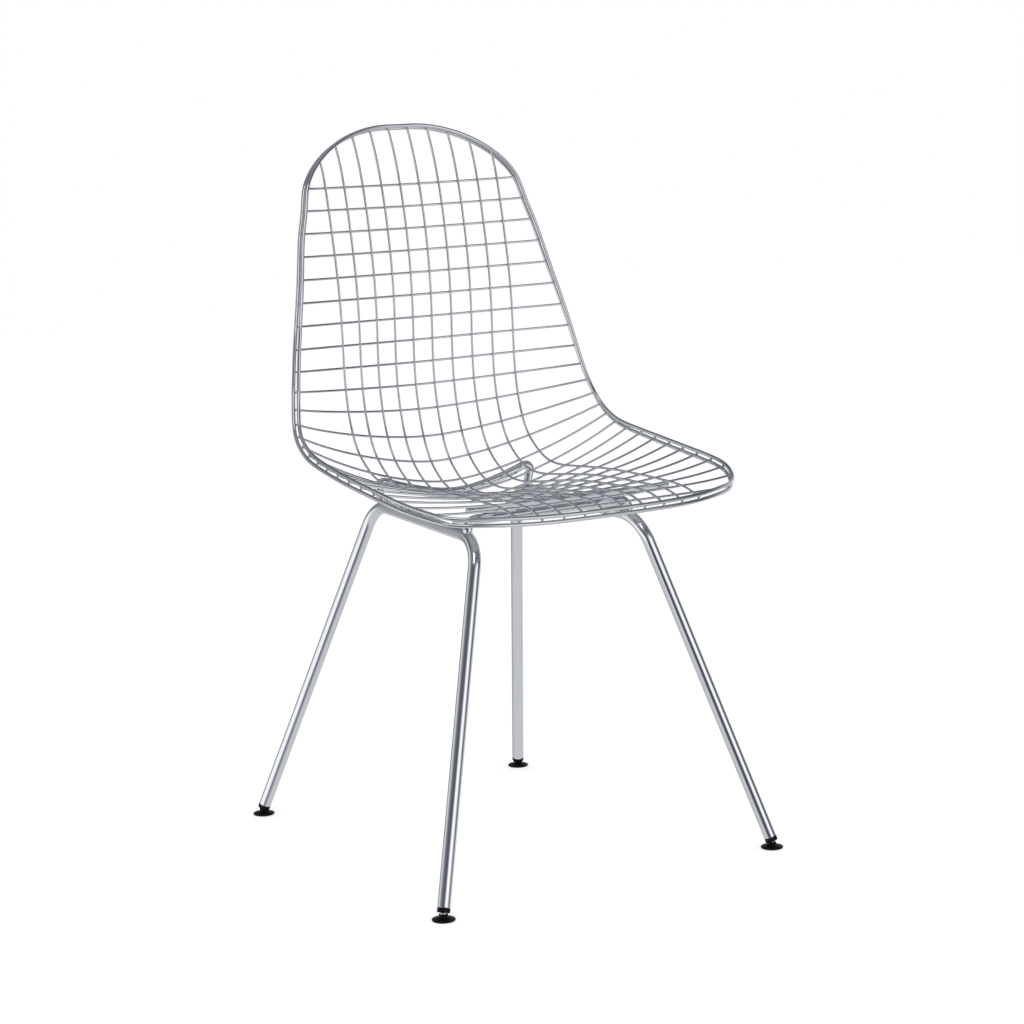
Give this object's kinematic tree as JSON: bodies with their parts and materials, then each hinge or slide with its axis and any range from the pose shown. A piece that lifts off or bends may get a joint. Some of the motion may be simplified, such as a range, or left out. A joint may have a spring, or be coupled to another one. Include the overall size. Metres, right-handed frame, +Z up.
{
  "type": "wire mesh dining chair",
  "caption": "Armless wire mesh dining chair: one double-curved welded wire shell on two bent rod side frames with tilting glides.",
  "frame": {"origin": "centre of the footprint on the floor, under the middle of the chair", "axes": "+Z up, -Y the way the sitter faces, +X the sitter's left"},
  "size_m": [0.4702, 0.5296, 0.8378],
  "materials": {
    "wire_chrome": "polished",
    "rod_chrome": "polished",
    "glide_plastic": "satin",
    "ball_steel": "polished"
  },
  "bodies": {
    "chair": {"long_wire_01": "wire_chrome", "long_wire_02": "wire_chrome", "long_wire_03": "wire_chrome", "long_wire_04": "wire_chrome", "long_wire_05": "wire_chrome", "long_wire_06": "wire_chrome", "long_wire_07": "wire_chrome", "long_wire_08": "wire_chrome", "long_wire_09": "wire_chrome", "long_wire_10": "wire_chrome", "cross_wire_01": "wire_chrome", "cross_wire_02": "wire_chrome", "cross_wire_03": "wire_chrome", "cross_wire_04": "wire_chrome", "cross_wire_05": "wire_chrome", "cross_wire_06": "wire_chrome", "cross_wire_07": "wire_chrome", "cross_wire_08": "wire_chrome", "cross_wire_09": "wire_chrome", "cross_wire_10": "wire_chrome", "cross_wire_11": "wire_chrome", "cross_wire_12": "wire_chrome", "cross_wire_13": "wire_chrome", "cross_wire_14": "wire_chrome", "cross_wire_15": "wire_chrome", "cross_wire_16": "wire_chrome", "cross_wire_17": "wire_chrome", "cross_wire_18": "wire_chrome", "cross_wire_19": "wire_chrome", "cross_wire_20": "wire_chrome", "cross_wire_21": "wire_chrome", "cross_wire_22": "wire_chrome", "cross_wire_23": "wire_chrome", "cross_wire_24": "wire_chrome", "cross_wire_25": "wire_chrome", "rim_inner": "wire_chrome", "rim_outer": "wire_chrome", "side_frame_left": "rod_chrome", "side_frame_right": "rod_chrome", "front_cross_rod": "rod_chrome", "rear_cradle_rod": "rod_chrome", "front_support_rod": "rod_chrome", "support_strap_left": "rod_chrome", "support_strap_right": "rod_chrome", "glide_plug_front_left": "glide_plastic", "glide_plug_front_right": "glide_plastic", "glide_plug_rear_left": "glide_plastic", "glide_plug_rear_right": "glide_plastic"},
    "ball_front_left": {"glide_ball_front_left": "ball_steel"},
    "foot_front_left": {"glide_foot_front_left": "glide_plastic"},
    "ball_front_right": {"glide_ball_front_right": "ball_steel"},
    "foot_front_right": {"glide_foot_front_right": "glide_plastic"},
    "ball_rear_left": {"glide_ball_rear_left": "ball_steel"},
    "foot_rear_left": {"glide_foot_rear_left": "glide_plastic"},
    "ball_rear_right": {"glide_ball_rear_right": "ball_steel"},
    "foot_rear_right": {"glide_foot_rear_right": "glide_plastic"}
  },
  "joints": [
    {"name": "glide_pitch_front_left", "type": "hinge", "parent": "chair", "child": "ball_front_left", "pos_m": [0.2221, -0.242, 0.008], "axis": [1, 0, 0], "range_deg": [-8, 8]},
    {"name": "glide_roll_front_left", "type": "hinge", "parent": "ball_front_left", "child": "foot_front_left", "pos_m": [0.2221, -0.242, 0.008], "axis": [0, 1, 0], "range_deg": [-8, 8]},
    {"name": "glide_pitch_front_right", "type": "hinge", "parent": "chair", "child": "ball_front_right", "pos_m": [-0.2221, -0.242, 0.008], "axis": [1, 0, 0], "range_deg": [-8, 8]},
    {"name": "glide_roll_front_right", "type": "hinge", "parent": "ball_front_right", "child": "foot_front_right", "pos_m": [-0.2221, -0.242, 0.008], "axis": [0, 1, 0], "range_deg": [-8, 8]},
    {"name": "glide_pitch_rear_left", "type": "hinge", "parent": "chair", "child": "ball_rear_left", "pos_m": [0.1857, 0.2516, 0.008], "axis": [1, 0, 0], "range_deg": [-8, 8]},
    {"name": "glide_roll_rear_left", "type": "hinge", "parent": "ball_rear_left", "child": "foot_rear_left", "pos_m": [0.1857, 0.2516, 0.008], "axis": [0, 1, 0], "range_deg": [-8, 8]},
    {"name": "glide_pitch_rear_right", "type": "hinge", "parent": "chair", "child": "ball_rear_right", "pos_m": [-0.1857, 0.2516, 0.008], "axis": [1, 0, 0], "range_deg": [-8, 8]},
    {"name": "glide_roll_rear_right", "type": "hinge", "parent": "ball_rear_right", "child": "foot_rear_right", "pos_m": [-0.1857, 0.2516, 0.008], "axis": [0, 1, 0], "range_deg": [-8, 8]}
  ]
}
